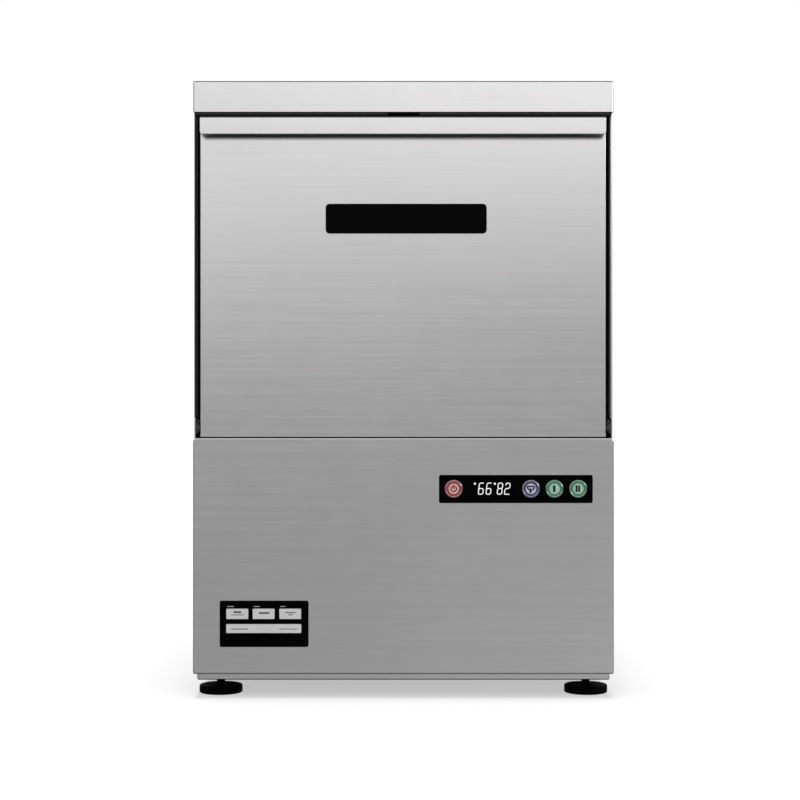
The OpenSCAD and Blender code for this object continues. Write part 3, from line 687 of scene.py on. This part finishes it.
def cutter(loops):
    bm = bmesh.new()
    rows = [[bm.verts.new(Vector(p) * MM) for p in loop] for loop in loops]
    n = len(rows[0])
    for a, b in zip(rows, rows[1:]):
        for i in range(n):
            bm.faces.new((a[i], a[(i + 1) % n], b[(i + 1) % n], b[i]))
    bm.faces.new(rows[0])
    bm.faces.new(rows[-1])
    bmesh.ops.recalc_face_normals(bm, faces=bm.faces)
    me = bpy.data.meshes.new("cutter")
    bm.to_mesh(me)
    bm.free()
    o = bpy.data.objects.new("cutter", me)
    bpy.context.scene.collection.objects.link(o)
    return o


def disc(cx, cy, r, n=32):
    return [(cx + r * math.cos(2 * math.pi * k / n), cy + r * math.sin(2 * math.pi * k / n)) for k in range(n)]


FEET = [n for n in NODES if n.startswith("foot_") and n != "foot_nuts"]
holes = []
for n in FEET:
    a, b = mm(n)
    c = ((a[0] + b[0]) / 2, (a[1] + b[1]) / 2)
    holes.append(cutter([[(x, y, z) for x, y in disc(c[0], c[1], 5.6)] for z in (TZ0 - 2, TZ0 + 3)]))
for i in range(-2, 3):
    holes.append(cutter([[(x, y, z) for x, y in rr(i * 60 - 20, i * 60 + 20, 176, 182, 2.9, 6)] for z in (TZ0 - 2, TZ0 + 3)]))
cut(tray, holes)

# hinge pins pass through the door's side walls
a, b = mm("hinge_brackets")
HINGE_Y, HINGE_Z = DF + 4.5, mm("door_outer_skin")[0][2] + 9.5
cut(skin, [
    cutter([[(x, y, z) for y, z in disc(HINGE_Y, HINGE_Z, 2.9, 24)] for x in (DX0 - 3, DX0 + 4)]),
    cutter([[(x, y, z) for y, z in disc(HINGE_Y, HINGE_Z, 2.9, 24)] for x in (DX1 - 4, DX1 + 3)]),
])

# black strip on the left side sheet's front edge, seen in the gap beside the door: a dark strip that stands in for
# the shade on that edge
a, b = mm("side_panel_right")
shade_strip = Piece("edge_shade_strip")
shade_strip.box((-b[0] + 0.2, a[1] - 0.9, DZ0 + 21.5), (-b[0] + 2.4, a[1] + 0.05, LID0 - 0.4), M["seal_rubber"], 0.4, 3)
shade_strip.done("cabinet", "seal_rubber")

# ---------------------------------------------------------------- badge, control strip, label
lo, hi = mm("door_badge")
badge = Piece("badge_plate")
badge.loft(plate_loops(lambda u, v, w: (u, lo[1] + w, v), lo[0], hi[0], lo[2], hi[2], hi[1] - lo[1], 4.5, 0.7, 10, 5), M["badge_black"])
badge.done("door", "badge_black", ("door_badge",))

lo, hi = mm("label_plate")
label = Piece("label_skin")
label.loft(plate_loops(lambda u, v, w: (u, lo[1] + w, v), lo[0], hi[0], lo[2], hi[2], hi[1] - lo[1], 2.0, 0.3, 8, 3), M["fascia_black"])
LF = lo[1]
label.done("cabinet", "fascia_black", ("label_plate",))
fields = Piece("label_fields")
for u0, u1, v0, v1 in ((-197.6, -173.1, 88.6, 100.1), (-168.2, -143.8, 88.6, 100.1), (-138.4, -114.2, 88.6, 100.1), (-197.7, -114.0, 73.0, 82.9)):
    fields.loft(plate_loops(lambda u, v, w: (u, LF - 0.08 + w, v), u0, u1, v0, v1, 0.12, 0.8, 0.04, 4, 2), FIELD)
for u0, u1, v, half in (
    (-189.5, -181.0, 96.3, 0.85), (-192.3, -178.2, 93.2, 0.35), (-161.2, -149.8, 95.3, 0.80),
    (-131.8, -120.2, 95.8, 0.42), (-128.3, -123.6, 93.4, 0.42), (-192.4, -173.4, 77.4, 0.42), (-139.0, -118.6, 77.4, 0.36),
):
    fields.stroke([(u0, v), (u1, v)], half, (0, LF - 0.12, 0), INK_DARK, 0.1, caps=False)
for u0, u1 in ((-196.6, -189.2), (-167.2, -160.6), (-137.4, -131.6)):
    fields.stroke([(u0, 102.6), (u1, 102.6)], 0.26, (0, LF - 0.08, 0), FIELD, 0.1, caps=False)
fields.done("cabinet", "fascia_black")

lo, hi = mm("button_bezels")
BEZ0, BEZ1 = lo[1], hi[1]
BUTTONS = [("button_power", "power"), ("button_drain", "drain"), ("button_cycle_1", "cycle"), ("button_cycle_2", "cycle")]
BODY = {"button_power": "power_button", "button_drain": "drain_button", "button_cycle_1": "cycle_1_button", "button_cycle_2": "cycle_2_button"}
for node, kind in BUTTONS:
    lo, hi = mm(node)
    cx, cz = (lo[0] + hi[0]) / 2, (lo[2] + hi[2]) / 2
    R = (hi[0] - lo[0]) / 2
    bz = Piece("bezel_" + node[7:])
    roll = [(9.98, BEZ1 - 0.2), (9.98, BEZ0 + 1.10)]
    for k in range(10):
        a = math.pi * 0.80 * k / 9
        roll.append((8.96 + 1.02 * math.cos(a), BEZ0 + 1.02 - 1.02 * math.sin(a)))
    edge = roll[-1]
    bz.lathe([(9.9, BEZ1), (10.5, BEZ1), (10.5, BEZ0 + 1.79), (9.9, BEZ0 + 1.74)], (cx, 0, cz), M["fascia_black"], "y", 72)
    bz.lathe([(9.0, BEZ1 - 0.2)] + roll + [(edge[0] - 0.04, edge[1] + 0.2)], (cx, 0, cz), BEZEL[kind], "y", 72)
    bz.lathe([(9.1, BEZ1), (edge[0] + 0.02, edge[1] + 0.05), (7.95, BEZ0 + 0.9), (7.75, BEZ0 + 1.1), (7.7, BEZ0 + 1.4), (7.7, BEZ1)], (cx, 0, cz), RING[kind], "y", 72)
    bz.done("cabinet", "bezel_tint", ("button_bezels",))

    F0 = lo[1]
    cap = Piece("cap_" + node[7:])
    rim = [(0, hi[1]), (2.7, hi[1]), (3.0, hi[1] - 0.3), (3.0, F0 + 9.6), (4.5, F0 + 9.6), (4.5, F0 + 7.6), (3.0, F0 + 7.6), (3.0, F0 + 2.6), (R - 0.2, F0 + 2.6), (R, F0 + 2.4)]
    for k in range(5):
        a = math.pi / 2 * k / 4
        rim.append((R - 0.9 * (1 - math.cos(a)), F0 + 0.9 * (1 - math.sin(a))))
    rim += [(6.3, F0 + 0.02), (6.08, F0 + 0.12), (6.0, F0 + 0.45)]
    cap.lathe(rim, (cx, 0, cz), RING[kind], "y", 64)
    lens = [(5.95, F0 + 0.5), (5.9, F0 + 0.3), (5.6, F0 + 0.16), (3.6, F0 + 0.06), (1.8, F0 + 0.02), (0, F0)]
    cap.lathe([(0, F0 + 0.6)] + [(5.95, F0 + 0.6)] + lens, (cx, 0, cz), PALE[kind], "y", 64)
    cap.done(BODY[node], SLOT[node], (node,))

    sym = Piece("symbol_" + node[7:])
    at = (cx, F0 - 0.04, cz)
    if node == "button_power":
        arc = [(3.1 * math.sin(math.radians(t)), 3.0 * math.cos(math.radians(t)) + 0.05) for t in range(35, 326, 10)]
        sym.stroke(arc, 0.62, at, INK_RED)
        sym.stroke([(0, 0.3), (0, 4.0)], 0.72, at, INK_RED)
    elif node == "button_drain":
        basin = round_path([(-2.1, -1.1), (-4.0, 0.9), (-4.0, 2.7), (3.7, 2.7), (3.7, 0.9), (1.9, -1.1)], 0.4)
        sym.stroke(basin, 0.76, at, INK_DARK)
        sym.stroke([(-2.0, -1.1), (1.8, -1.1)], 0.6, at, INK_DARK)
        sym.stroke([(-0.5, 0.7), (-0.5, -0.2)], 0.6, at, INK_DARK)
        sym.stroke([(-0.5, -1.6), (-0.5, -3.7)], 1.1, at, INK_DARK)
    elif node == "button_cycle_1":
        sym.stroke([(-0.50, -3.3), (-0.50, 3.7)], 1.38, at, INK_DARK, caps=False)
    else:
        for d in (-1.86, 0.98):
            sym.stroke([(d, -3.3), (d, 3.75)], 1.12, at, INK_DARK, caps=False)
    sym.done(BODY[node], SLOT[node])

lo, hi = mm("display_window")
DW = lo[1]
pane = Piece("display_pane")
pane.loft(plate_loops(lambda u, v, w: (u, DW + w, v), lo[0] - 0.28, hi[0] + 0.28, lo[2] - 0.28, hi[2] + 0.28, hi[1] - DW, 1.0, 0.02, 6, 1), M["window_dark"])
pane.done("cabinet", "window_dark", ("display_window",))
digits = Piece("display_digits")


def chamfered(a, b, z0, z1, q):
    return [(a + q, z0), (b - q, z0), (b, z0 + q), (b, z1 - q), (b - q, z1), (a + q, z1), (a, z1 - q), (a, z0 + q)]


def glyph(kind, x, w, z0, h, half=0.50, slant=0.12):
    m = h * 0.515
    q = 1.25
    if kind == "6":
        paths = [(chamfered(0, w, 0, m, q), True), ([(w - 0.6, h), (q, h), (0, h - q), (0, m - 0.2)], False)]
    elif kind == "8":
        paths = [(chamfered(0, w, 0, m, q), True), (chamfered(0, w, m, h, q), True)]
    elif kind == "2":
        paths = [([(0.1, h * 0.83), (q, h), (w - q, h), (w, h - q), (w, m + q), (w - q, m), (q, m), (0, m - q), (0, 0), (w - 0.1, 0)], False)]
    else:
        paths = [(rr(0, w, 0, h, w * 0.3, 4), True)]
    for pts, closed in paths:
        if kind == "2":
            pts = round_path(pts, 0.5, 3)
        pts = [(p[0] + p[1] * slant, p[1]) for p in pts]
        digits.stroke(pts, half, (x, DW - 0.05, z0), DIGITS, 0.1, closed, caps=not closed)


def px2x(px):
    return (px - 403.4) * 1.116


Z0, H = 227.9, 12.4
for kind, px in (("6", 478.1), ("6", 485.8), ("8", 497.0), ("2", 504.4)):
    glyph(kind, px2x(px), 5.1, Z0, H)
for px in (475.0, 494.9):
    glyph("o", px2x(px) - 0.65, 1.1, Z0 + H - 1.3, 1.2, 0.55, 0.0)
digits.done("cabinet", "window_dark")

# ---------------------------------------------------------------- feet
PAD_T = 9.0
for n in FEET:
    lo, hi = mm(n)
    cx, cy = (lo[0] + hi[0]) / 2, (lo[1] + hi[1]) / 2
    R = (hi[0] - lo[0]) / 2
    T = PAD_T
    prof = [(0, 0.6), (R - 6.5, 0.6), (R - 6.0, 0.0), (R - 1.6, 0.0)]
    for k in range(1, 6):
        a = math.pi / 2 * k / 5
        prof.append((R - 1.6 * (1 - math.sin(a)), 1.6 * (1 - math.cos(a))))
    prof += [(R, T - 1.6)]
    for k in range(1, 6):
        a = math.pi / 2 * k / 5
        prof.append((R - 1.6 * (1 - math.cos(a)), T - 1.6 + 1.6 * math.sin(a)))
    prof += [(8.0, T), (5.2, T)]
    z = T + 0.6
    while z < hi[2] - 1.2:
        prof += [(5.0, z), (4.95, z + 0.12), (4.35, z + 0.70), (4.35, z + 0.80), (4.95, z + 1.38)]
        z += 1.5
    prof += [(4.6, hi[2] - 0.4), (4.2, hi[2]), (0, hi[2])]
    foot = Piece("pad_" + n[5:])
    foot.lathe(prof, (cx, cy, 0), M["black_plastic"], "z", 56)
    foot.done(frame["nodes"][n]["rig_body"], "black_plastic", (n,))

# ---------------------------------------------------------------- CAD nodes that stay
BEVEL = {
    "side_panel_left": 0.45, "side_panel_right": 0.45, "rear_panel": 0.35, "panel_screws": 0.3,
    "front_frame": 0.3, "door_seal": 0.5, "door_catch": 0.8, "hinge_brackets": 0.5,
    "wash_chamber": 0.35, "wash_tank": 0.3, "tank_filters": 0.25, "pump_strainer": 0.2,
    "rack_rails": 0.3, "door_inner_liner": 0.5,
    "door_hinge_blocks": 0.5, "rack_base": 0.7, "rack_walls": 0.7, "arm_nuts": 0.8,
    "lower_wash_arm": 0.9, "upper_wash_arm": 0.9, "drain_spigot": 0.5, "cable_gland": 0.6,
    "inlet_valve": 0.6, "terminal_block": 0.6, "wash_pump_motor": 0.6, "foot_nuts": 0.5,
}
for n, o in NODES.items():
    if o.hide_render:
        continue
    o.data.materials.clear()
    o.data.materials.append(HINGE if n == "door_hinge_blocks" else M[SLOT[n]])
    if n in BEVEL:
        w = o.modifiers.new("weld", "WELD")
        w.merge_threshold = 0.000005
        b = o.modifiers.new("bevel", "BEVEL")
        b.limit_method = "ANGLE"
        b.angle_limit = math.radians(38)
        b.width = BEVEL[n] * MM
        b.segments = 2
        b.use_clamp_overlap = True
        b.miter_outer = "MITER_SHARP"
        x = o.modifiers.new("weighted", "WEIGHTED_NORMAL")
        x.keep_sharp = False

# ---------------------------------------------------------------- camera, floor, light
cam_data = bpy.data.cameras.new("camera")
cam_data.sensor_width = 36.0
cam_data.lens = 80.62
cam_data.clip_end = 100.0
cam = bpy.data.objects.new("camera", cam_data)
cam.location = (-0.0038, -2.254, 0.333)
cam.rotation_euler = (math.radians(90), 0, 0)
bpy.context.scene.collection.objects.link(cam)
bpy.context.scene.camera = cam

floor_bm = bmesh.new()
bmesh.ops.create_grid(floor_bm, x_segments=8, y_segments=8, size=20.0)
floor_me = bpy.data.meshes.new("floor")
floor_bm.to_mesh(floor_me)
floor_bm.free()
floor = bpy.data.objects.new("floor", floor_me)
fm = Mat("floor_pale", Roughness=0.9, Specular_IOR_Level=0.1)
fm.b.inputs["Emission Color"].default_value = (1, 1, 1, 1)
fm.b.inputs["Emission Strength"].default_value = 0.492
fm.set("Base Color", fm.ramp(fm.noise(fm.scaled(2.0), 3.0), [(0.3, 0.42), (0.7, 0.44)]))
floor_me.materials.append(fm.m)
floor.visible_glossy = False
bpy.context.scene.collection.objects.link(floor)

world = bpy.data.worlds.new("studio")
bpy.context.scene.world = world
world.use_nodes = True
nt = world.node_tree
nt.nodes.clear()


def wn(kind, **props):
    n = nt.nodes.new(kind)
    for k, v in props.items():
        setattr(n, k, v)
    return n


def wmath(op, a, b=None, c=None, clamp=False):
    n = wn("ShaderNodeMath", operation=op)
    n.use_clamp = clamp
    for i, v in enumerate((a, b, c)):
        if v is None:
            continue
        if isinstance(v, (int, float)):
            n.inputs[i].default_value = v
        else:
            nt.links.new(v, n.inputs[i])
    return n.outputs[0]


tc = wn("ShaderNodeTexCoord")
sep = wn("ShaderNodeSeparateXYZ")
nt.links.new(tc.outputs["Generated"], sep.inputs[0])
X, Y, Z = sep.outputs
ramp = wn("ShaderNodeValToRGB")
e = ramp.color_ramp.elements
SKY = [(-1.0, 0.58), (-0.6, 0.55), (-0.4, 0.53), (-0.25, 0.51), (-0.15, 0.50), (-0.08, 0.43), (-0.03, 0.30), (0.02, 0.32),
       (0.06, 0.50), (0.10, 0.89), (0.14, 1.38), (0.18, 1.66), (0.23, 1.65), (0.30, 1.52), (0.40, 1.35), (0.55, 1.15), (0.75, 0.95), (1.0, 0.80)]
while len(e) < len(SKY):
    e.new(0.5)
for el, (s, v) in zip(e, SKY):
    el.position = (s + 1) / 2
    el.color = (v / 2, v / 2, v / 2, 1)
nt.links.new(wmath("MULTIPLY_ADD", Z, 0.5, 0.5), ramp.inputs["Fac"])
side = wmath("MULTIPLY", wmath("ADD", Y, 0.5), 2.0, clamp=True)
high = wmath("MULTIPLY", wmath("SUBTRACT", Z, 0.05), 8.0, clamp=True)
deep = wmath("MULTIPLY", wmath("MULTIPLY", wmath("ADD", Z, 0.3), -4.0, clamp=True), wmath("MULTIPLY", wmath("ADD", Y, 0.35), 3.0, clamp=True))
deep = wmath("MULTIPLY", deep, wmath("SUBTRACT", 1.7, wmath("MULTIPLY", wmath("ABSOLUTE", X), 4.0), clamp=True))
shade = wmath("MULTIPLY", side, wmath("MULTIPLY_ADD", high, 0.22, 0.38))
gain = wmath("MULTIPLY", wmath("MULTIPLY_ADD", X, 0.25, 1.0), wmath("SUBTRACT", 1.0, shade))
gain = wmath("MULTIPLY", gain, wmath("MULTIPLY_ADD", deep, -0.85, 1.0))
strength = wmath("MULTIPLY", gain, 2.0)
bg = wn("ShaderNodeBackground")
nt.links.new(ramp.outputs["Color"], bg.inputs["Color"])
nt.links.new(strength, bg.inputs["Strength"])
white = wn("ShaderNodeBackground")
white.inputs["Color"].default_value = (1, 1, 1, 1)
white.inputs["Strength"].default_value = 1.0
lp = wn("ShaderNodeLightPath")
mixs = wn("ShaderNodeMixShader")
nt.links.new(lp.outputs["Is Camera Ray"], mixs.inputs[0])
nt.links.new(bg.outputs[0], mixs.inputs[1])
nt.links.new(white.outputs[0], mixs.inputs[2])
out = wn("ShaderNodeOutputWorld")
nt.links.new(mixs.outputs[0], out.inputs["Surface"])


def area(name, loc, target, size, power, glossy=False):
    d = bpy.data.lights.new(name, "AREA")
    d.shape = "RECTANGLE"
    d.size, d.size_y = size
    d.energy = power
    o = bpy.data.objects.new(name, d)
    o.location = loc
    o.rotation_euler = (Vector(target) - Vector(loc)).to_track_quat("-Z", "Y").to_euler()
    o.visible_glossy = glossy
    bpy.context.scene.collection.objects.link(o)
    return o


sun = bpy.data.lights.new("overhead", "SUN")
sun.energy = 2.32
sun.angle = math.radians(17)
sun_o = bpy.data.objects.new("overhead", sun)
sun_o.visible_glossy = False
sun_o.rotation_euler = (0, math.radians(-1.4), 0)
bpy.context.scene.collection.objects.link(sun_o)
area("edge", (2.0, -1.35, 1.20), (0, -0.25, 0.30), (0.25, 0.55), 15, True).visible_diffuse = False

sc = bpy.context.scene
sc.view_settings.view_transform = "Standard"
sc.view_settings.look = "None"
sc.view_settings.exposure = 0.0
sc.view_settings.gamma = 1.0
